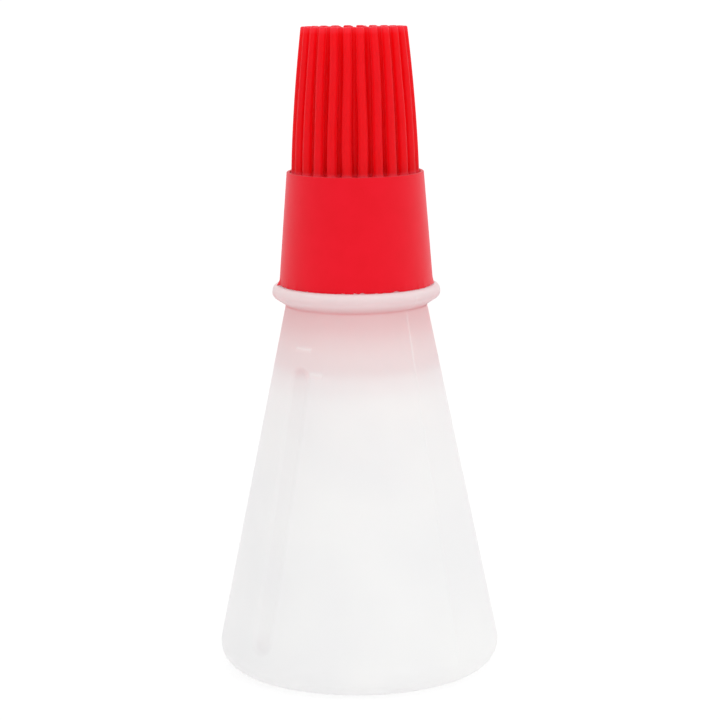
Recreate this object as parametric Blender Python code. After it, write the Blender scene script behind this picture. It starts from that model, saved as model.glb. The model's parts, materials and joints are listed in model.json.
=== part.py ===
"""Squeeze-bottle pastry brush: a soft cone bottle closed by a ribbed plug that carries a silicone brush.

Metres, +Z up. The origin is the centre of the bottle's base, on the surface that it stands on.
The brush points up, and the level window looks towards -X and -Y.
"""

import math

import bmesh
import bpy
from mathutils import Matrix, Vector

# Bottle
BASE_RADIUS = 0.0230
BASE_CORNER = 0.0038
NECK_RADIUS = 0.0115
NECK_Z = 0.0600
WALL = 0.0016
FLOOR = 0.0022
FOOT_INNER_RADIUS = 0.0150
FOOT_RECESS = 0.0005
LIP_CENTRE_RADIUS = 0.01205
LIP_CENTRE_Z = 0.06215
LIP_ROUND = 0.00155
LIP_START_ANGLE = -62
SEAT_RADIUS = 0.0126
SEAT_Z = 0.0632
MOUTH_RADIUS = 0.0102
MOUTH_CHAMFER = 0.0003
BORE_LOW_Z = 0.0500

# Level window, a shallow recess down the bottle's side
WINDOW_AZIMUTH = math.radians(-133.0)
WINDOW_LOW_Z = 0.0060
WINDOW_HIGH_Z = 0.0510
WINDOW_WIDTH = 0.0038
WINDOW_DEPTH = 0.0005

# Brush head: skirt and deck
HEAD_LOW_RADIUS = 0.0125
HEAD_HIGH_RADIUS = 0.01105
HEAD_LOW_Z = 0.0635
HEAD_HIGH_Z = 0.0817
RIM_WIDTH = 0.0004
RIM_ROUND = 0.0001
DECK_Z = 0.0811
DECK_THICKNESS = 0.0024
HEAD_BORE = 0.00965

# Outlet, a cross slit in a thin web at the middle of the deck
WEB_RADIUS = 0.0030
WEB_THICKNESS = 0.0010
OUTLET_REACH = 0.0026
FLAP_COUNT = 4
FLAP_THICKNESS = 0.0008
FLAP_GAP = 0.0003  # at the hinge edge, where the flap's corners swing
SLIT_HALF_GAP = 0.0001

# Plug insert
PLUG_RADIUS = 0.0095
PLUG_LOW_Z = 0.0491
PLUG_BORE = 0.0079
PLUG_CHAMFER = 0.0005
RIB_RADIUS = 0.0101
RIB_HALF_HEIGHT = 0.0006
RIB_PITCH = 0.00257
RIB_COUNT = 4
FIRST_RIB_Z = 0.0505
FLANGE_RADIUS = 0.0108
FLANGE_LOW_Z = 0.0635
FLANGE_HIGH_Z = 0.0649
BARREL_RADIUS = 0.0094
BARREL_HIGH_Z = 0.0783
BARB_RADIUS = 0.00985
BARB_Z = 0.0720
BARB_HALF_HEIGHT = 0.0009

# Bristles, in rings from the rim inwards: name, count, root radius, tip radius, first azimuth in degrees
BRISTLE_RINGS = (
    ("outer", 24, 0.00957, 0.00795, -97.5),
    ("middle", 17, 0.00715, 0.00595, -90.0),
    ("inner", 11, 0.00475, 0.00395, -96.0),
)
BRISTLE_ROOT = 0.0008
BRISTLE_TIP = 0.00062
BRISTLE_TOP_Z = 0.1050
BRISTLE_BOW = 1.6  # power of the inward curve: upright at the root, leaning in at the tip
BRISTLE_SIDES = 8

GAP = 0.0003  # between pieces that touch
TURN_STEPS = 48


def material(name, colour, roughness, transmission=0.0):
    made = bpy.data.materials.new(name)
    made.use_nodes = True
    shader = made.node_tree.nodes["Principled BSDF"]
    shader.inputs["Base Color"].default_value = (*colour, 1.0)
    shader.inputs["Roughness"].default_value = roughness
    shader.inputs["Metallic"].default_value = 0.0
    shader.inputs["Transmission Weight"].default_value = transmission
    return made


def add_object(name, mesh, finish=None, parent=None, location=(0, 0, 0), turn=0.0):
    """One named object, placed by its location and its turn about +Z."""
    obj = bpy.data.objects.new(name, mesh)
    bpy.context.scene.collection.objects.link(obj)
    if finish:
        mesh.materials.clear()
        mesh.materials.append(finish)
    obj.parent = parent
    obj.location = location
    obj.rotation_euler.z = turn
    return obj


def add_empty(name, parent=None):
    empty = bpy.data.objects.new(name, None)
    bpy.context.scene.collection.objects.link(empty)
    empty.parent = parent
    return empty


def mesh_from(name, bm, smooth_angle=35):
    bmesh.ops.recalc_face_normals(bm, faces=bm.faces)
    mesh = bpy.data.meshes.new(name)
    bm.to_mesh(mesh)
    bm.free()
    mesh.shade_smooth()
    mesh.set_sharp_from_angle(angle=math.radians(smooth_angle))
    return mesh


def arc(centre, radius, start, end, steps):
    """Points (r, z) of an arc, with its angles in degrees up from the outward horizontal."""
    points = []
    for i in range(steps + 1):
        a = math.radians(start + (end - start) * i / steps)
        points.append((centre[0] + radius * math.cos(a), centre[1] + radius * math.sin(a)))
    return points


def turned(name, outline):
    """A solid turned about Z from an outline of (r, z) points, closed or ending on the axis."""
    bm = bmesh.new()
    verts = [bm.verts.new((r, 0, z)) for r, z in outline]
    edges = [bm.edges.new(pair) for pair in zip(verts, verts[1:])]
    if outline[0][0] > 0:
        edges.append(bm.edges.new((verts[-1], verts[0])))
    bmesh.ops.spin(
        bm,
        geom=verts + edges,
        cent=(0, 0, 0),
        axis=(0, 0, 1),
        angle=math.tau,
        steps=TURN_STEPS,
        use_merge=True,
    )
    bmesh.ops.remove_doubles(bm, verts=bm.verts, dist=1e-6)
    return mesh_from(name, bm)


def extruded(bm, face):
    """Extrudes a face in place, and returns the new end face."""
    made = bmesh.ops.extrude_face_region(bm, geom=[face, *face.edges])["geom"]
    return next(f for f in made if isinstance(f, bmesh.types.BMFace))


def prism(name, outline, low, high):
    """A closed prism on a flat outline of (x, y) points, from z = low to z = high."""
    bm = bmesh.new()
    face = bm.faces.new([bm.verts.new((x, y, low)) for x, y in outline])
    top = extruded(bm, face)
    bmesh.ops.translate(bm, verts=top.verts, vec=(0, 0, high - low))
    return mesh_from(name, bm)


def cut(obj, cutter):
    """Takes the cutter out of obj with a live Boolean, and hides the cutter."""
    cutter.hide_render = True
    cutter.display_type = "WIRE"
    modifier = obj.modifiers.new(cutter.name, "BOOLEAN")
    modifier.operation = "DIFFERENCE"
    modifier.solver = "EXACT"
    modifier.object = cutter


def cone_half_angle():
    """The lean of the bottle's side, which touches the base corner's round and meets the neck."""
    run = BASE_RADIUS - BASE_CORNER - NECK_RADIUS
    rise = NECK_Z - BASE_CORNER
    return math.atan2(run, rise) + math.asin(BASE_CORNER / math.hypot(run, rise))


def side_radius(z):
    """The outside radius of the bottle's straight side at height z."""
    return NECK_RADIUS + (NECK_Z - z) * math.tan(cone_half_angle())


def bottle_outline():
    lean = math.degrees(cone_half_angle())
    corner = (BASE_RADIUS - BASE_CORNER, BASE_CORNER)
    lip = (LIP_CENTRE_RADIUS, LIP_CENTRE_Z)
    lip_end = math.degrees(math.acos((SEAT_RADIUS + MOUTH_CHAMFER - LIP_CENTRE_RADIUS) / LIP_ROUND))
    outside = [(0, FOOT_RECESS), (FOOT_INNER_RADIUS, FOOT_RECESS), (FOOT_INNER_RADIUS + FOOT_RECESS, 0)]
    outside += arc(corner, BASE_CORNER, -90, 0, 5) + arc(corner, BASE_CORNER, 0, lean, 1)[1:]
    outside += [(NECK_RADIUS, NECK_Z)]
    outside += arc(lip, LIP_ROUND, LIP_START_ANGLE, lip_end, 6)

    mouth = [
        (SEAT_RADIUS, SEAT_Z),
        (MOUTH_RADIUS + MOUTH_CHAMFER, SEAT_Z),
        (MOUTH_RADIUS, SEAT_Z - MOUTH_CHAMFER),
        (MOUTH_RADIUS, BORE_LOW_Z),
    ]
    wall = WALL / math.cos(cone_half_angle())
    shoulder_z = BORE_LOW_Z - (side_radius(BORE_LOW_Z) - wall - MOUTH_RADIUS)
    inner_round = BASE_CORNER - WALL
    inside = [(side_radius(shoulder_z) - wall, shoulder_z)]
    inside += arc((corner[0], FLOOR + inner_round), inner_round, lean, -90, 3)
    return outside + mouth + inside + [(0, FLOOR)]


def level_window_cutter():
    """A stadium-shaped prism lying along the cone's side and sunk WINDOW_DEPTH into it."""
    middle_z = (WINDOW_LOW_Z + WINDOW_HIGH_Z) / 2
    middle_r = side_radius(middle_z)
    end_radius = WINDOW_WIDTH / 2
    straight = (WINDOW_HIGH_Z - WINDOW_LOW_Z) / 2 / math.cos(cone_half_angle()) - end_radius
    outline = arc((0, straight), end_radius, 0, 180, 8) + arc((0, -straight), end_radius, 180, 360, 8)
    mesh = prism("level_window_cutter", outline, -WINDOW_DEPTH, BASE_CORNER)
    # The prism's +Z turns to face out of the cone, and its +Y runs up the cone's side.
    foot = Vector((math.cos(WINDOW_AZIMUTH) * middle_r, math.sin(WINDOW_AZIMUTH) * middle_r, middle_z))
    face_out = Matrix.Rotation(WINDOW_AZIMUTH + math.pi / 2, 4, "Z")
    stand = Matrix.Rotation(math.pi / 2 - cone_half_angle(), 4, "X")
    mesh.transform(Matrix.Translation(foot) @ face_out @ stand)
    return add_object("level_window_cutter", mesh)


def build_bottle(finish):
    bottle = add_object("bottle", turned("bottle", bottle_outline()), finish)
    cut(bottle, level_window_cutter())


def skirt_radius(z):
    share = (z - HEAD_LOW_Z) / (HEAD_HIGH_Z - HEAD_LOW_Z)
    return HEAD_LOW_RADIUS + (HEAD_HIGH_RADIUS - HEAD_LOW_RADIUS) * share


def build_brush_head(finish, parent):
    """The silicone skirt and its deck, with a pocket for the insert's flange and a groove for its barb."""
    deck_low = DECK_Z - DECK_THICKNESS
    web_low = DECK_Z - WEB_THICKNESS
    pocket_radius = FLANGE_RADIUS + GAP
    pocket_high = FLANGE_HIGH_Z + GAP
    groove = BARB_RADIUS + GAP
    groove_half = BARB_HALF_HEIGHT + GAP
    outline = [
        (0, web_low),
        (WEB_RADIUS, web_low),
        (WEB_RADIUS, deck_low),
        (HEAD_BORE, deck_low),
        (HEAD_BORE, BARB_Z + groove_half),
        (groove, BARB_Z + groove_half - GAP),
        (groove, BARB_Z - groove_half + GAP),
        (HEAD_BORE, BARB_Z - groove_half),
        (HEAD_BORE, pocket_high),
        (pocket_radius, pocket_high),
        (pocket_radius, HEAD_LOW_Z),
        (HEAD_LOW_RADIUS, HEAD_LOW_Z),
        (skirt_radius(HEAD_HIGH_Z - GAP), HEAD_HIGH_Z - GAP),
        (HEAD_HIGH_RADIUS - RIM_ROUND, HEAD_HIGH_Z),
        (HEAD_HIGH_RADIUS - RIM_WIDTH, HEAD_HIGH_Z),
        (HEAD_HIGH_RADIUS - RIM_WIDTH - RIM_ROUND, DECK_Z),
        (0, DECK_Z),
    ]
    head = add_object("brush_head", turned("brush_head", outline), finish, parent)
    window = [(OUTLET_REACH, 0), (0, OUTLET_REACH), (-OUTLET_REACH, 0), (0, -OUTLET_REACH)]
    cutter = prism("outlet_cutter", window, web_low - WEB_THICKNESS, DECK_Z + WEB_THICKNESS)
    cut(head, add_object("outlet_cutter", cutter, parent=parent))


def build_flaps(finish, parent):
    """Four three-cornered flaps that meet at a cross slit, each with its origin on its hinge line."""
    hinge_distance = OUTLET_REACH / math.sqrt(2) - FLAP_GAP
    apex = SLIT_HALF_GAP * math.sqrt(2) - hinge_distance
    half = FLAP_THICKNESS / 2
    mesh = prism("outlet_flap", [(apex, 0), (0, apex), (0, -apex)], -half, half)
    middle_z = DECK_Z - WEB_THICKNESS / 2
    for i in range(FLAP_COUNT):
        a = math.radians(45) + math.tau * i / FLAP_COUNT
        place = (math.cos(a) * hinge_distance, math.sin(a) * hinge_distance, middle_z)
        add_object(f"outlet_flap_{i + 1}", mesh, finish, parent, place, a)


def build_plug_insert(finish, parent):
    """The stiff core: ribbed plug below the flange, barbed barrel above it, one bore right through."""
    outline = [
        (PLUG_BORE, PLUG_LOW_Z),
        (PLUG_RADIUS - PLUG_CHAMFER, PLUG_LOW_Z),
        (PLUG_RADIUS, PLUG_LOW_Z + PLUG_CHAMFER),
    ]
    for i in range(RIB_COUNT):
        z = FIRST_RIB_Z + i * RIB_PITCH
        outline += [(PLUG_RADIUS, z - RIB_HALF_HEIGHT), (RIB_RADIUS, z), (PLUG_RADIUS, z + RIB_HALF_HEIGHT)]
    outline += [
        (PLUG_RADIUS, FLANGE_LOW_Z),
        (FLANGE_RADIUS, FLANGE_LOW_Z),
        (FLANGE_RADIUS, FLANGE_HIGH_Z),
        (BARREL_RADIUS, FLANGE_HIGH_Z),
        (BARREL_RADIUS, BARB_Z - BARB_HALF_HEIGHT),
        (BARB_RADIUS, BARB_Z - BARB_HALF_HEIGHT + GAP),
        (BARREL_RADIUS, BARB_Z + BARB_HALF_HEIGHT),
        (BARREL_RADIUS, BARREL_HIGH_Z),
        (PLUG_BORE, BARREL_HIGH_Z),
    ]
    add_object("plug_insert", turned("plug_insert", outline), finish, parent)


def bristle_mesh(name, lean_in):
    """A tapered rod with a blunt root and tip. Its origin is on its root's axis, and +X points outwards."""
    height = BRISTLE_TOP_Z - (DECK_Z + GAP + BRISTLE_ROOT)
    taper = BRISTLE_TIP - BRISTLE_ROOT
    levels = [(-BRISTLE_ROOT, 0.5 * BRISTLE_ROOT), (0, BRISTLE_ROOT)]
    levels += [(height / 2, BRISTLE_ROOT + taper / 2), (height, BRISTLE_TIP)]
    bm = bmesh.new()
    root_z, radius = levels[0]
    bmesh.ops.create_circle(bm, cap_ends=True, segments=BRISTLE_SIDES, radius=radius)
    bmesh.ops.translate(bm, verts=bm.verts, vec=(0, 0, root_z))
    bm.faces.ensure_lookup_table()
    top = bm.faces[0]
    centre = Vector((0, 0, root_z))
    for z, new_radius in levels[1:]:
        top = extruded(bm, top)
        new_centre = Vector((-lean_in * (z / height) ** BRISTLE_BOW if z > 0 else 0, 0, z))
        grow = new_radius / radius
        bmesh.ops.scale(bm, verts=top.verts, vec=(grow, grow, 1), space=Matrix.Translation(-centre))
        bmesh.ops.translate(bm, verts=top.verts, vec=new_centre - centre)
        centre, radius = new_centre, new_radius
    return mesh_from(name, bm, smooth_angle=50)


def build_bristles(finish, parent):
    pivot_z = DECK_Z + GAP + BRISTLE_ROOT
    for ring, count, root_radius, tip_radius, first in BRISTLE_RINGS:
        mesh = bristle_mesh(f"bristle_{ring}", root_radius - tip_radius)
        for i in range(count):
            a = math.radians(first) + math.tau * i / count
            place = (math.cos(a) * root_radius, math.sin(a) * root_radius, pivot_z)
            add_object(f"bristle_{ring}_{i + 1:02d}", mesh, finish, parent, place, a)


def main():
    for obj in list(bpy.data.objects):
        bpy.data.objects.remove(obj)
    frosted_silicone = material("frosted_silicone", (0.90, 0.89, 0.88), 0.45, transmission=0.6)
    red_silicone = material("red_silicone", (0.78, 0.012, 0.028), 0.5)
    red_plastic = material("red_polypropylene", (0.75, 0.012, 0.026), 0.35)
    build_bottle(frosted_silicone)
    plug = add_empty("plug_group")
    build_plug_insert(red_plastic, plug)
    head = add_empty("head_group", parent=plug)
    build_brush_head(red_silicone, head)
    build_flaps(red_silicone, head)
    build_bristles(red_silicone, head)


main()
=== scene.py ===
import json
import math
import random

import bmesh
import bpy
from mathutils import Matrix, Quaternion, Vector, noise


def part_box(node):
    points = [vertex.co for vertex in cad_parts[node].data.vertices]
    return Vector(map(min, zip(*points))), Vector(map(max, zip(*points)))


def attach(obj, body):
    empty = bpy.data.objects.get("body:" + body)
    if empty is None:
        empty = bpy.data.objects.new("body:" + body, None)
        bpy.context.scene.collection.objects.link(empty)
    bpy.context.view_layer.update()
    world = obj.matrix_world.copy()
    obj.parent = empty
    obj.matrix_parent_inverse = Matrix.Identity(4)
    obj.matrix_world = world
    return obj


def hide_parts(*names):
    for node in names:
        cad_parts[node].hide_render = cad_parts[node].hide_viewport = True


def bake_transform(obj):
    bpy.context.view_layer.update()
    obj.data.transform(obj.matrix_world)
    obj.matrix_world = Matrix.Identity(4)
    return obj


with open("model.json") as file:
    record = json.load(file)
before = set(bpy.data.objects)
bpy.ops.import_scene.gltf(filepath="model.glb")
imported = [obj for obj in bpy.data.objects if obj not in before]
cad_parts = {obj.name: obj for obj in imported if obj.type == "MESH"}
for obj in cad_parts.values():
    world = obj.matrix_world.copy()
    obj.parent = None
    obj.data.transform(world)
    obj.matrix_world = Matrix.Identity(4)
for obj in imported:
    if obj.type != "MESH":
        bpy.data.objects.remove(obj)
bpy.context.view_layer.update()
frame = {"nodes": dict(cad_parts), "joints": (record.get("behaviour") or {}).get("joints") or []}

# Squeeze-bottle pastry brush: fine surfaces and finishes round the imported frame, in metres.
mm = 0.001


def toLinear(hexColour):
    # sRGB hex such as "f7141d" to the linear colour that shaders take
    parts = [int(hexColour[i:i + 2], 16) / 255 for i in (0, 2, 4)]
    return tuple(p / 12.92 if p <= 0.04045 else ((p + 0.055) / 1.055) ** 2.4 for p in parts) + (1.0,)


def addNode(tree, kind, settings=(), inputs=()):
    # one node: settings are its own properties, inputs its sockets, each a value or an output to link
    node = tree.nodes.new(kind)
    for name, value in dict(settings).items():
        setattr(node, name, value)
    for name, value in dict(inputs).items():
        if isinstance(value, bpy.types.NodeSocket):
            tree.links.new(value, node.inputs[name])
        else:
            node.inputs[name].default_value = value
    return node


def newMaterial(name, surface):
    # an empty tree with one Principled shader, its plain values set from surface
    made = bpy.data.materials.new(name)
    made.use_nodes = True
    tree = made.node_tree
    tree.nodes.clear()
    shader = addNode(tree, "ShaderNodeBsdfPrincipled", inputs=surface)
    settings = {"name": "Material Output"}
    addNode(tree, "ShaderNodeOutputMaterial", settings, {"Surface": shader.outputs["BSDF"]})
    return made, tree, shader


def roundCorners(corners, arcStep=12):
    # (r, z, radius) corners in mm to an outline in metres: a corner with a radius becomes an arc
    outline = []
    for i, (r, z, radius) in enumerate(corners):
        here = Vector((r, z))
        if radius == 0:
            outline.append(here * mm)
            continue
        before = (Vector(corners[i - 1][:2]) - here).normalized()
        after = (Vector(corners[(i + 1) % len(corners)][:2]) - here).normalized()
        opening = before.angle(after)
        centre = here + (before + after).normalized() * (radius / math.sin(opening / 2))
        start = here + before * (radius / math.tan(opening / 2)) - centre
        sweep = math.copysign(math.pi - opening, (-before).cross(after))
        steps = max(2, math.ceil(abs(math.degrees(sweep)) / arcStep))
        for k in range(steps + 1):
            outline.append((centre + Matrix.Rotation(sweep * k / steps, 2) @ start) * mm)
    return outline


def fillStretches(outline, spacingAt):
    # adds points along straight stretches, no further apart than spacingAt(height) metres
    filled = [outline[0]]
    for point in outline[1:]:
        while (point - filled[-1]).length > 1.5 * spacingAt(filled[-1].y):
            step = point - filled[-1]
            filled.append(filled[-1] + step * (spacingAt(filled[-1].y) / step.length))
        filled.append(point)
    return filled


def spinOutline(outline, sectors, closed):
    # turns an outline about Z, sector by sector; each sector is (sweep in degrees, steps)
    bm = bmesh.new()
    verts = [bm.verts.new((p.x, 0, p.y)) for p in outline]
    edges = [bm.edges.new(pair) for pair in zip(verts, verts[1:])]
    if closed:
        edges.append(bm.edges.new((verts[-1], verts[0])))
    ring = verts + edges
    for sweep, steps in sectors:
        turned = bmesh.ops.spin(bm, geom=ring, cent=(0, 0, 0), axis=(0, 0, 1),
                                angle=math.radians(sweep), steps=steps, use_merge=sweep == 360)
        ring = turned["geom_last"]
    bmesh.ops.remove_doubles(bm, verts=bm.verts, dist=0.002 * mm)
    bmesh.ops.recalc_face_normals(bm, faces=bm.faces)
    if bm.calc_volume(signed=True) < 0:
        bmesh.ops.reverse_faces(bm, faces=bm.faces)
    return bm


def finishPiece(name, bm, finish, body, nodes, sharpAngle=40):
    # bmesh to a smooth shaded object that rides on its body and stands for its CAD nodes
    mesh = bpy.data.meshes.new(name)
    bm.to_mesh(mesh)
    bm.free()
    mesh.shade_smooth()
    mesh.set_sharp_from_angle(angle=math.radians(sharpAngle))
    mesh.materials.append(finish)
    piece = bpy.data.objects.new(name, mesh)
    bpy.context.scene.collection.objects.link(piece)
    if nodes:
        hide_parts(*nodes)
    if body:
        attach(piece, body)
    return piece


def smoothStep(edge, value):
    # 1 well inside (value below -edge), 0 well outside, smooth between
    t = min(1, max(0, (edge - value) / (2 * edge)))
    return t * t * (3 - 2 * t)


def addRamp(tree, share, stops):
    # a colour ramp over share; stops are (position, hex colour)
    ramp = addNode(tree, "ShaderNodeValToRGB", inputs={"Fac": share})
    elements = ramp.color_ramp.elements
    while len(elements) < len(stops):
        elements.new(1.0)
    for element, (position, hexColour) in zip(elements, stops):
        element.position = position
        element.color = toLinear(hexColour)
    return ramp


def addGrain(tree, shaders, size, depth):
    # fine moulded grain, size and depth in mm, as a bump on the given shaders; returns its place node
    place = addNode(tree, "ShaderNodeTexCoord")
    grain = addNode(tree, "ShaderNodeTexNoise", inputs={
        "Vector": place.outputs["Object"], "Scale": 1 / (size * mm), "Detail": 3.0, "Roughness": 0.6,
    })
    bump = addNode(tree, "ShaderNodeBump", inputs={
        "Strength": 1.0, "Distance": depth * mm, "Height": grain.outputs["Fac"],
    })
    for shader in shaders:
        tree.links.new(bump.outputs["Normal"], shader.inputs["Normal"])
    return place


def makeMilkySilicone():
    # Milky translucent silicone, compression moulded: part of the light scatters back off the cloudy
    # wall and part passes it, spread out, the more the thinner the wall; soft clouds, a faint grain
    look = {
        "cloudSize": 14.0, "cloudThin": "f6f8f7", "cloudThick": "fafcfa", "passed": "fffafe",
        "roughness": 0.36, "ior": 1.41, "shine": 0.5, "sheen": 0.3,
        "grainSize": 0.5, "grainDepth": 0.006,
    }
    made, tree, haze = newMaterial("milkyMouldedSilicone", {
        "Roughness": look["roughness"],
        "IOR": look["ior"],
        "Specular IOR Level": look["shine"],
        "Sheen Weight": look["sheen"],
        "Sheen Roughness": 0.4,
    })
    place = addGrain(tree, (haze,), look["grainSize"], look["grainDepth"])
    clouds = addNode(tree, "ShaderNodeTexNoise", inputs={
        "Vector": place.outputs["Object"], "Scale": 1 / (look["cloudSize"] * mm), "Detail": 2.0,
    })
    stops = ((0.35, look["cloudThin"]), (0.65, look["cloudThick"]))
    cloudColour = addRamp(tree, clouds.outputs["Fac"], stops)
    tree.links.new(cloudColour.outputs["Color"], haze.inputs["Base Color"])
    spread = addNode(tree, "ShaderNodeBsdfTranslucent", inputs={"Color": toLinear(look["passed"])})
    straight = addNode(tree, "ShaderNodeBsdfTransparent", inputs={"Color": toLinear("ffffff")})
    innerSkin = addNode(tree, "ShaderNodeAttribute", {"attribute_name": "innerSkin"})
    passed = addNode(tree, "ShaderNodeMixShader", inputs={"Fac": innerSkin.outputs["Fac"]})
    tree.links.new(spread.outputs["BSDF"], passed.inputs[1])
    tree.links.new(straight.outputs["BSDF"], passed.inputs[2])
    passShare = addNode(tree, "ShaderNodeAttribute", {"attribute_name": "passShare"})
    wall = addNode(tree, "ShaderNodeMixShader", inputs={"Fac": passShare.outputs["Fac"]})
    tree.links.new(haze.outputs["BSDF"], wall.inputs[1])
    tree.links.new(passed.outputs["Shader"], wall.inputs[2])
    tree.links.new(wall.outputs["Shader"], tree.nodes["Material Output"].inputs["Surface"])
    return made


def makeRedSilicone(name, look):
    # Pigmented red silicone, compression moulded: dense colour, soft satin skin with a fine matt grain
    made, tree, shader = newMaterial(name, {
        "Roughness": look["roughness"],
        "IOR": 1.41,
        "Specular IOR Level": look["shine"],
        "Sheen Weight": look["sheen"],
        "Sheen Roughness": 0.5,
        "Sheen Tint": toLinear("ffdcea"),
    })
    place = addGrain(tree, (shader,), look["grainSize"], look["grainDepth"])
    mottle = addNode(tree, "ShaderNodeTexNoise", inputs={
        "Vector": place.outputs["Object"], "Scale": 1 / (look["mottleSize"] * mm), "Detail": 3.0,
    })
    stops = ((0.35, look["pigmentDeep"]), (0.65, look["pigment"]))
    pigment = addRamp(tree, mottle.outputs["Fac"], stops)
    tree.links.new(pigment.outputs["Color"], shader.inputs["Base Color"])
    return made, tree, shader, pigment


def makeBristleSilicone():
    # The same red silicone moulded into thin bristles, which let red light through to one another;
    # a painted highlight turns the colour pale at the thin tip and at the fillet at the root
    look = {
        "pigment": "fc1026", "pigmentDeep": "fa0a1c", "roughness": 0.4, "shine": 0.35, "sheen": 0.12,
        "grainSize": 0.2, "grainDepth": 0.006, "mottleSize": 4.0, "passed": "ff0810", "passShare": 0.58,
        "ends": (
            (0.0, "ffffff"), (0.014, "ffffff"), (0.032, "000000"), (0.955, "000000"), (1.0, "ffffff"),
        ),
        "pale": "ff4c60",
    }
    made, tree, shader, pigment = makeRedSilicone("bristleRedSilicone", look)
    # painted highlight: by share of height, the pigment turns pale pink at the root fillet and at the
    # tip
    along = addNode(tree, "ShaderNodeAttribute", {"attribute_name": "tipShare"})
    ends = addRamp(tree, along.outputs["Fac"], look["ends"])
    colour = addNode(tree, "ShaderNodeMix", {"data_type": "RGBA"}, {
        0: ends.outputs["Color"], 6: pigment.outputs["Color"], 7: toLinear(look["pale"]),
    })
    tree.links.new(colour.outputs[2], shader.inputs["Base Color"])
    spread = addNode(tree, "ShaderNodeBsdfTranslucent", inputs={"Color": toLinear(look["passed"])})
    both = addNode(tree, "ShaderNodeMixShader", inputs={"Fac": look["passShare"]})
    tree.links.new(shader.outputs["BSDF"], both.inputs[1])
    tree.links.new(spread.outputs["BSDF"], both.inputs[2])
    tree.links.new(both.outputs["Shader"], tree.nodes["Material Output"].inputs["Surface"])
    return made


def makeRedPlastic():
    # Red polypropylene, injection moulded: a little harder and glossier than the silicone round it
    look = {"pigment": "fa163a", "roughness": 0.38, "ior": 1.49, "grainSize": 0.3, "grainDepth": 0.004}
    made, tree, shader = newMaterial("mouldedRedPolypropylene", {
        "Base Color": toLinear(look["pigment"]),
        "Roughness": look["roughness"],
        "IOR": look["ior"],
        "Specular IOR Level": 0.3,
    })
    addGrain(tree, (shader,), look["grainSize"], look["grainDepth"])
    return made


milkySilicone = makeMilkySilicone()
redSilicone = makeRedSilicone("mouldedRedSilicone", {
    "pigment": "e70c22", "pigmentDeep": "e40a1f", "roughness": 0.45, "shine": 0.12, "sheen": 0.2,
    "grainSize": 0.16, "grainDepth": 0.012, "mottleSize": 3.0,
})[0]
bristleSilicone = makeBristleSilicone()
redPlastic = makeRedPlastic()
print("materials made")


bottle = {
    "baseRadius": 23.0, "baseCorner": 3.8, "neckRadius": 11.5, "neckHeight": 60.0,
    "wall": 1.6, "thinnestWall": 0.8, "floor": 2.2, "bore": 10.2, "boreLow": 50.0, "seatHeight": 63.3,
    # (radius, height, rounding) down the outline of the foot's ring and of the bead
    "footRing": ((0, 0.5, 0), (15.0, 0.5, 0.3), (15.5, 0.0, 0.3)),
    "bead": ((13.75, 61.65, 1.05), (13.5, 63.45, 0.95), (12.75, 63.42, 0.1), (12.7, 63.3, 0.05)),
    "windowAzimuths": (-135.0, -132.3), "windowLow": 5.8, "windowHigh": 51.0, "windowWidth": 3.6,
    "windowDepth": 0.3, "windowEdge": 0.6, "windowEndGain": 0.12, "windowEndReach": 3.0,
    "partingAzimuths": (-46.0, 134.0), "partingWidth": 0.16, "partingHeight": 0.06, "partingLoss": 0.12,
    # fill marks: (degrees from the window's middle, height, width, thickness), all but the first in mm
    "fillMarks": ((0.0, 54.2, 3.2, 0.5), (13.5, 50.4, 2.4, 0.4)),
    "fillMarkHeight": 0.12, "fillMarkLoss": 0.1, "fillMarkEdge": 0.12,
    "markedHeights": (4.5, 63.0),  # all moulded detail lies between these
    "fineHeights": ((4.0, 10.0), (47.0, 56.0)), "fineStep": 0.25, "coarseStep": 1.2,
    "clearDepth": 1.8,  # this thickness of wall halves the light passed
    "innerPass": 0.92,  # share passed by the inner skin, as most of the haze is in the outer one
    # below the plug no rib wets the wall and less light gets through
    "dryLoss": 0.5, "dryHeight": 48.5, "dryBlend": 2.5,
    # (height, width, gain): rings that pass more or less light, at the bead, its root and the ribs
    "wetRings": (
        (61.9, 1.1, 0.2), (60.8, 0.5, 0.04), (60.15, 0.24, 0.18), (59.4, 0.9, -0.1),
        (58.3, 0.5, 0.04), (57.0, 0.35, 0.03), (51.0, 1.6, 0.07),
    ),
}


def bottleLean():
    # how far the side leans in: it touches the base corner's round and meets the neck
    run = bottle["baseRadius"] - bottle["baseCorner"] - bottle["neckRadius"]
    rise = bottle["neckHeight"] - bottle["baseCorner"]
    return math.atan2(run, rise) + math.asin(bottle["baseCorner"] / math.hypot(run, rise))


def bottleSide(z):
    # outside radius of the bottle's straight side at height z, in metres
    return bottle["neckRadius"] * mm + (bottle["neckHeight"] * mm - z) * math.tan(bottleLean())


def lightPassed(wallThickness, z):
    # share of light that gets through the wall, more where the plug's ribs press and wet it
    share = bottle["clearDepth"] * mm / (bottle["clearDepth"] * mm + wallThickness)
    share *= 1 - bottle["dryLoss"] * smoothStep(bottle["dryBlend"] * mm, z - bottle["dryHeight"] * mm)
    for height, width, gain in bottle["wetRings"]:
        share += gain * math.exp(-(((z - height * mm) / (width * mm)) ** 2))
    return share


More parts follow.
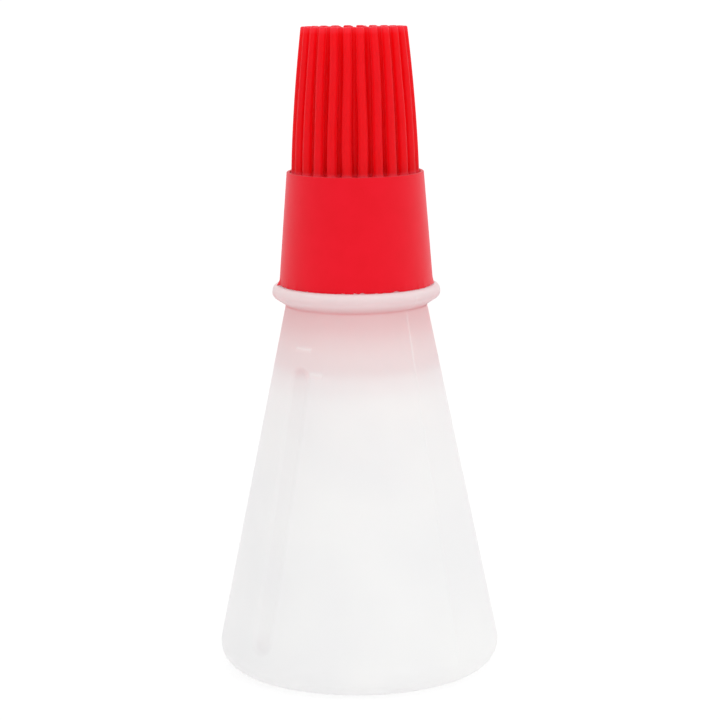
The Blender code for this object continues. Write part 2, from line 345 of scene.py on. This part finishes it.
def bottleMarks(azimuth, z):
    # moulded detail here: how far it moves the skin out, in metres, and its gain in light passed
    b = bottle
    radius = bottleSide(z)
    low, high = b["windowLow"] * mm, b["windowHigh"] * mm
    lowTurn, highTurn = b["windowAzimuths"]
    turned = lowTurn + (highTurn - lowTurn) * (z - low) / (high - low)
    across = radius * math.remainder(azimuth - math.radians(turned), math.tau)
    halfWidth = b["windowWidth"] * mm / 2
    nearest = min(max(z, low + halfWidth), high - halfWidth)
    inWindow = smoothStep(b["windowEdge"] * mm, math.hypot(across, z - nearest) - halfWidth)
    fromEnd = min(abs(z - low), abs(high - z))
    relief = -b["windowDepth"] * mm * inWindow
    gain = b["windowEndGain"] * inWindow * max(0, 1 - fromEnd / (b["windowEndReach"] * mm))
    for partingAzimuth in b["partingAzimuths"]:
        gap = radius * math.remainder(azimuth - math.radians(partingAzimuth), math.tau)
        ridge = math.exp(-((gap / (b["partingWidth"] * mm)) ** 2))
        relief += b["partingHeight"] * mm * ridge
        gain -= b["partingLoss"] * ridge * smoothStep(4 * mm, b["boreLow"] * mm - z)
    for turn, height, width, thickness in b["fillMarks"]:
        outsideAcross = abs(across - radius * math.radians(turn)) - width * mm / 2
        outsideUp = abs(z - height * mm) - thickness * mm / 2
        mark = smoothStep(b["fillMarkEdge"] * mm, max(outsideAcross, outsideUp))
        relief += b["fillMarkHeight"] * mm * mark
        gain -= b["fillMarkLoss"] * mark
    return relief, gain


def bottleSpacing(z):
    # rows of points stand closer at the window's ends and at the fill marks
    fine = any(low * mm < z < high * mm for low, high in bottle["fineHeights"])
    return (bottle["fineStep"] if fine else bottle["coarseStep"]) * mm


def buildBottle():
    b = bottle
    lean = math.tan(bottleLean())
    footRadius = b["neckRadius"] + b["neckHeight"] * lean  # where the side's line meets the ground
    inward = b["wall"] / math.cos(bottleLean())
    ledge = b["neckRadius"] + (b["neckHeight"] - b["boreLow"]) * lean - inward - b["bore"]
    shoulder = b["boreLow"] - ledge
    innerFoot = footRadius - b["floor"] * lean - inward
    corners = [
        *b["footRing"], (footRadius, 0.0, b["baseCorner"]),
        (b["neckRadius"] - 0.03, b["neckHeight"] + 0.15, 0.5), *b["bead"],
        (b["bore"], b["seatHeight"], 0.3), (b["bore"], b["boreLow"], 0.8),
        (b["bore"] + b["boreLow"] - shoulder, shoulder, 1.5),
        (innerFoot, b["floor"], b["baseCorner"] - b["wall"]), (0, b["floor"], 0),
    ]
    outline = fillStretches(roundCorners(corners, arcStep=9), bottleSpacing)
    # from +X round: coarse, fine over each parting line and over the window with its marks
    sectors = [(132.5, 66), (3, 12), (76.5, 38), (49, 98), (51.5, 26), (3, 12), (44.5, 22)]
    bm = spinOutline(outline, sectors, closed=False)
    passShare = bm.verts.layers.float.new("passShare")
    innerSkin = bm.verts.layers.float.new("innerSkin")
    markLow, markHigh = b["markedHeights"]
    bm.normal_update()
    for vert in bm.verts:
        z = vert.co.z
        radius = math.hypot(vert.co.x, vert.co.y)
        facesOut = vert.normal.xy.dot(vert.co.xy) > 0.2 * radius
        facesOut = facesOut or (vert.normal.z < -0.3 and z < markLow * mm)
        onTop = z > 60.5 * mm and radius > (b["bore"] + 0.05) * mm
        outerSkin = facesOut or onTop or z < 0.6 * mm
        vert[passShare] = b["innerPass"]
        vert[innerSkin] = 0.0 if outerSkin else 1.0
        if outerSkin:
            marked = markLow * mm < z < markHigh * mm
            relief, gain = bottleMarks(math.atan2(vert.co.y, vert.co.x), z) if marked else (0, 0)
            shoulderShare = (z / mm - shoulder + 0.5) / (b["boreLow"] - shoulder + 0.5)
            shoulderShare = min(1, max(0, shoulderShare))
            thickness = inward * mm + ((radius - b["bore"] * mm) - inward * mm) * shoulderShare
            thickness = max(thickness, b["thinnestWall"] * mm)
            vert[passShare] = lightPassed(thickness + relief, z) + gain
            if marked:
                vert.co.xy = vert.co.xy * (1 + relief / radius)
    finishPiece("bottleShell", bm, milkySilicone, "bottle", ["bottle"])


buildBottle()
print("bottle turned, with its level window, fill marks and parting line")


head = {
    "lowRadius": 12.5, "highRadius": 11.05, "low": 63.45, "high": 81.7, "deck": 81.1,
    "deckLow": 78.7, "rimWidth": 0.45, "bore": 9.65, "pocket": 11.1, "pocketHigh": 65.2,
    "groove": 10.15, "grooveMiddle": 72.0, "webRadius": 3.0, "webLow": 80.1,
    "outletReach": 2.6, "outletLip": 0.06,  # a square window, its corners on X and Y, for the four flaps
    "flashReach": 0.28, "flashHeight": 0.6, "flashSeed": 7, "chipDepth": 0.6, "chipHeight": 0.12,
    "tabAzimuth": -172, "tabReach": 0.45, "tabTurn": 0.05,  # a longer scrap of flash; tabTurn in radians
}


def buildHead():
    h = head
    corners = [
        (h["outletReach"], h["webLow"], h["outletLip"]), (h["webRadius"], h["webLow"], 0.2),
        (h["webRadius"], h["deckLow"], 0.2),
        (h["bore"], h["deckLow"], 0.2), (h["bore"], h["grooveMiddle"] + 1.2, 0.1),
        (h["groove"], h["grooveMiddle"] + 0.9, 0.1), (h["groove"], h["grooveMiddle"] - 0.9, 0.1),
        (h["bore"], h["grooveMiddle"] - 1.2, 0.1), (h["bore"], h["pocketHigh"], 0.1),
        (h["pocket"], h["pocketHigh"], 0.1), (h["pocket"], h["low"], 0.08),
        (h["lowRadius"], h["low"], 0.08), (h["highRadius"] + 0.03, h["high"], 0.18),
        (h["highRadius"] - h["rimWidth"], h["high"], 0.16),
        (h["highRadius"] - h["rimWidth"] - 0.1, h["deck"], 0.25),
        (h["outletReach"], h["deck"], h["outletLip"]),
    ]
    outline = fillStretches(roundCorners(corners, arcStep=18), lambda z: 0.9 * mm)
    bm = spinOutline(outline, [(360, 288)], closed=True)
    # the round hole in the deck becomes the outlet's square window; flash is the thin ragged edge
    # that the mould leaves along the skirt's foot
    for vert in bm.verts:
        radius = math.hypot(vert.co.x, vert.co.y)
        if radius < (h["outletReach"] + 2 * h["outletLip"]) * mm:
            vert.co.xy = vert.co.xy * (radius / (abs(vert.co.x) + abs(vert.co.y)))
            continue
        above = vert.co.z - h["low"] * mm
        if above < h["flashHeight"] * mm and radius > (h["lowRadius"] - 0.25) * mm:
            azimuth = math.atan2(vert.co.y, vert.co.x)
            place = Vector((math.cos(azimuth), math.sin(azimuth), 0.13 * h["flashSeed"]))
            ragged = max(0, noise.noise(place * 9) + 0.6 * noise.noise(place * 31))
            fromTab = math.remainder(azimuth - math.radians(h["tabAzimuth"]), math.tau)
            tab = math.exp(-((fromTab / h["tabTurn"]) ** 2))
            fade = (1 - above / (h["flashHeight"] * mm)) ** 2
            reach = (h["flashReach"] * ragged + h["tabReach"] * tab) * mm * fade
            vert.co.x += math.cos(azimuth) * reach
            vert.co.y += math.sin(azimuth) * reach
            if above < h["chipHeight"] * mm:
                vert.co.z += max(0, noise.noise(place * 17) - 0.3) * h["chipDepth"] * mm
    finishPiece("headSkirt", bm, redSilicone, "head", ["brush_head"])


buildHead()


flaps = {"edge": 0.06, "lowEdge": 0.25}  # roundings in mm; the underside's lets neighbours swing up


def buildFlaps():
    # four flaps that meet at the cross slit, each on its own hinge
    for i in range(4):
        node = frame["nodes"][f"outlet_flap_{i + 1}"]
        bm = bmesh.new()
        bm.from_mesh(node.data)
        bm.transform(node.matrix_world)
        bmesh.ops.remove_doubles(bm, verts=bm.verts, dist=0.002 * mm)
        bmesh.ops.dissolve_limit(bm, angle_limit=0.02, verts=bm.verts, edges=bm.edges)
        underside = min(vert.co.z for vert in bm.verts)
        lowEdges = [e for e in bm.edges if max(v.co.z for v in e.verts) < underside + 0.05 * mm]
        bmesh.ops.bevel(bm, geom=lowEdges, offset=flaps["lowEdge"] * mm, segments=4, affect="EDGES",
                        profile=0.5, material=-1)
        crispEdges = [e for e in bm.edges if e.calc_face_angle(0) > 0.9]
        bmesh.ops.bevel(bm, geom=crispEdges, offset=flaps["edge"] * mm, segments=2, affect="EDGES",
                        profile=0.5, material=-1)
        name = f"outlet_flap_{i + 1}"
        finishPiece(f"outletFlap{i + 1}", bm, redSilicone, name, [name])


buildFlaps()
print("brush head and outlet flaps made")


plug = {
    "radius": 9.5, "low": 49.1, "bore": 7.9, "ribReach": 10.1, "ribHeight": 1.2, "ribPitch": 2.57,
    "ribs": 4, "firstRib": 50.5, "flange": 10.8, "flangeLow": 63.5, "flangeHigh": 64.9,
    "barrel": 9.4, "barrelHigh": 78.3, "barb": 9.85, "barbMiddle": 72.0,
}


def buildPlug():
    p = plug
    corners = [(p["bore"], p["low"], 0.3), (p["radius"], p["low"], 0.5)]
    for i in range(p["ribs"]):
        z = p["firstRib"] + i * p["ribPitch"]
        corners += [
            (p["radius"], z - p["ribHeight"] / 2, 0.1), (p["ribReach"], z, 0.25),
            (p["radius"], z + p["ribHeight"] / 2, 0.1),
        ]
    corners += [
        (p["radius"], p["flangeLow"], 0.2), (p["flange"], p["flangeLow"], 0.2),
        (p["flange"], p["flangeHigh"], 0.2), (p["barrel"], p["flangeHigh"], 0.2),
        (p["barrel"], p["barbMiddle"] - 0.9, 0.1),
        (p["barb"], p["barbMiddle"] - 0.6, 0.15), (p["barrel"], p["barbMiddle"] + 0.9, 0.2),
        (p["barrel"], p["barrelHigh"], 0.2), (p["bore"], p["barrelHigh"], 0.3),
    ]
    outline = fillStretches(roundCorners(corners, arcStep=20), lambda z: 1.5 * mm)
    bm = spinOutline(outline, [(360, 128)], closed=True)
    finishPiece("ribbedPlug", bm, redPlastic, "plug", ["plug_insert"])


buildPlug()
print("plug insert turned")


bristles = {
    "rootRadius": 0.79, "tipRadius": 0.62, "sides": 16, "levels": 26,
    "leanIn": {"outer": 1.62, "middle": 1.2, "inner": 0.8},  # how far the tip stands in from the root
    "bow": 1.6,  # power of the lean: upright at the root, leaning at the tip
    "flare": 0.42, "flareHeight": 0.9,  # fillet into the deck
    "tipRound": 0.16,
    "sway": 0.1, "seed": 11,
    "cutSlope": 0.016,  # the tips' cut falls this much towards the back
}


def bristleSpine(share, azimuth, ring, sway):
    # sideways place of the bristle's middle at a share of its height, from its root's axis
    b = bristles
    inward = b["leanIn"][ring] * share ** b["bow"]
    aside = sway[0] * math.sin(math.pi * share) + sway[1] * math.sin(math.tau * share)
    aside += sway[2] * share ** 2
    out = Vector((math.cos(azimuth), math.sin(azimuth), 0))
    across = Vector((-math.sin(azimuth), math.cos(azimuth), 0))
    return (across * aside - out * inward) * mm


def buildBristle(joint):
    b = bristles
    node = joint["child"]
    ring = node.split("_")[1]
    root = Vector(joint["pos_m"])
    azimuth = math.atan2(root.y, root.x)
    deck = head["deck"] * mm - 0.05 * mm
    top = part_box(node)[1][2] - b["cutSlope"] * max(0, root.y + 9.6 * mm)
    draw = random.Random(b["seed"] * 1000 + sum(map(ord, node)) * 7)
    sway = [draw.uniform(-1, 1) * b["sway"] for _ in range(3)]
    low = root.z - b["rootRadius"] * mm
    heights = [deck, deck + 0.08 * mm, deck + 0.2 * mm, deck + 0.38 * mm, deck + b["flareHeight"] * mm]
    straight = top - b["tipRound"] * mm
    step = (straight - heights[-1]) / b["levels"]
    heights += [heights[-1] + step * (i + 1) for i in range(b["levels"])]
    radii = []
    for z in heights:
        share = max(0, (z - low) / (top - low))
        flare = max(0, 1 - (z - deck) / (b["flareHeight"] * mm)) ** 2 * b["flare"]
        radii.append((b["rootRadius"] + (b["tipRadius"] - b["rootRadius"]) * share + flare) * mm)
    for angle in (30, 60, 85):  # the tip's rounded edge
        a = math.radians(angle)
        heights.append(straight + b["tipRound"] * mm * math.sin(a))
        radii.append((b["tipRadius"] - b["tipRound"] * (1 - math.cos(a))) * mm)

    bm = bmesh.new()
    bmesh.ops.create_circle(bm, cap_ends=True, segments=b["sides"], radius=radii[0],
                            matrix=Matrix.Translation((root.x, root.y, heights[0])))
    bm.faces.ensure_lookup_table()
    end = bm.faces[0]
    centre = Vector((root.x, root.y, heights[0]))
    for z, radius, lastRadius in zip(heights[1:], radii[1:], radii):
        raised = bmesh.ops.extrude_face_region(bm, geom=[end, *end.edges])["geom"]
        end = next(f for f in raised if isinstance(f, bmesh.types.BMFace))
        share = max(0, (z - low) / (top - low))
        nextCentre = Vector((root.x, root.y, z)) + bristleSpine(share, azimuth, ring, sway)
        grow = radius / lastRadius
        bmesh.ops.scale(bm, verts=end.verts, vec=(grow, grow, 1), space=Matrix.Translation(-centre))
        bmesh.ops.translate(bm, verts=end.verts, vec=nextCentre - centre)
        centre = nextCentre
    bmesh.ops.recalc_face_normals(bm, faces=bm.faces)
    layer = bm.verts.layers.float.new("tipShare")
    for vert in bm.verts:
        vert[layer] = (vert.co.z - low) / (top - low)
    name = "".join(part.capitalize() for part in node.split("_"))
    name = name[0].lower() + name[1:]
    piece = finishPiece(name, bm, bristleSilicone, None, [node], 60)
    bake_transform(piece)


bristleJoints = [j for j in frame["joints"] if j["child"].startswith("bristle_")]
for bristleJoint in bristleJoints:
    buildBristle(bristleJoint)
print(len(bristleJoints), "bristles made")


stage = {
    "floorColour": "a0a0a0", "floorGlow": 0.68, "floorReach": 15.0,
    "worldStrength": 1.15,
    # white tent, a little dimmer at its sides
    "tentShades": ((0.0, "dadada"), (0.5, "ffffff"), (1.0, "f0f0f0")),
    # soft boxes: name, azimuth, height, distance, (width, height), watts
    "softBoxes": (
        ("leftStrip", -42, 0.2, 0.8, (0.12, 0.6), 0.06),
        ("rightStrip", 44, 0.2, 0.8, (0.12, 0.6), 0.09),
    ),
    "cameraDistance": 0.3933, "cameraHeight": 0.1212, "aimHeight": 0.0507, "cameraAside": 0.0005,
    "lens": 122.15, "roll": -0.009,
}


def buildFloor():
    bm = bmesh.new()
    bmesh.ops.create_grid(bm, x_segments=1, y_segments=1, size=stage["floorReach"],
                          matrix=Matrix.Translation((0, 0, -0.02 * mm)))
    mesh = bpy.data.meshes.new("paleFloor")
    bm.to_mesh(mesh)
    bm.free()
    sweep = newMaterial("paleSweep", {
        "Base Color": toLinear(stage["floorColour"]),
        "Roughness": 0.9,
        "Specular IOR Level": 0.0,
        "Emission Color": (1, 1, 1, 1),
        "Emission Strength": stage["floorGlow"],
    })[0]
    mesh.materials.append(sweep)
    floor = bpy.data.objects.new("paleFloor", mesh)
    bpy.context.scene.collection.objects.link(floor)


def buildLight():
    world = bpy.data.worlds.new("whiteTent")
    bpy.context.scene.world = world
    world.use_nodes = True
    tree = world.node_tree
    place = addNode(tree, "ShaderNodeTexCoord")
    sides = addNode(tree, "ShaderNodeSeparateXYZ", inputs={"Vector": place.outputs["Generated"]})
    across = addNode(tree, "ShaderNodeMapRange", inputs={"Value": sides.outputs["X"], "From Min": -1.0})
    shades = addRamp(tree, across.outputs["Result"], stage["tentShades"])
    shades.color_ramp.interpolation = "EASE"
    background = tree.nodes["Background"]
    tree.links.new(shades.outputs["Color"], background.inputs["Color"])
    background.inputs["Strength"].default_value = stage["worldStrength"]


def addSoftBox(name, azimuth, height, distance, size, power):
    # a soft box that looks at the middle of the object; azimuth 0 is the camera's side, 90 its right
    light = bpy.data.lights.new(name, "AREA")
    light.shape = "RECTANGLE"
    light.size, light.size_y = size
    light.energy = power
    box = bpy.data.objects.new(name, light)
    bpy.context.scene.collection.objects.link(box)
    a = math.radians(azimuth)
    box.location = (math.sin(a) * distance, -math.cos(a) * distance, height)
    sight = Vector((0, 0, 0.06)) - box.location
    box.rotation_mode = "QUATERNION"
    box.rotation_quaternion = sight.to_track_quat("-Z", "Y")


def buildCamera():
    camera = bpy.data.objects.new("viewCamera", bpy.data.cameras.new("viewCamera"))
    bpy.context.scene.collection.objects.link(camera)
    bpy.context.scene.camera = camera
    camera.data.sensor_width = 36
    camera.data.lens = stage["lens"]
    camera.data.clip_start, camera.data.clip_end = 0.02, 40
    camera.location = (stage["cameraAside"], -stage["cameraDistance"], stage["cameraHeight"])
    sight = Vector((stage["cameraAside"], 0, stage["aimHeight"])) - camera.location
    camera.rotation_mode = "QUATERNION"
    camera.rotation_quaternion = sight.to_track_quat("-Z", "Y") @ Quaternion((0, 0, 1), stage["roll"])


buildFloor()
buildLight()
for softBox in stage["softBoxes"]:
    addSoftBox(*softBox)
buildCamera()
bpy.context.scene.view_settings.view_transform = "Standard"
print("stage, light and camera set")
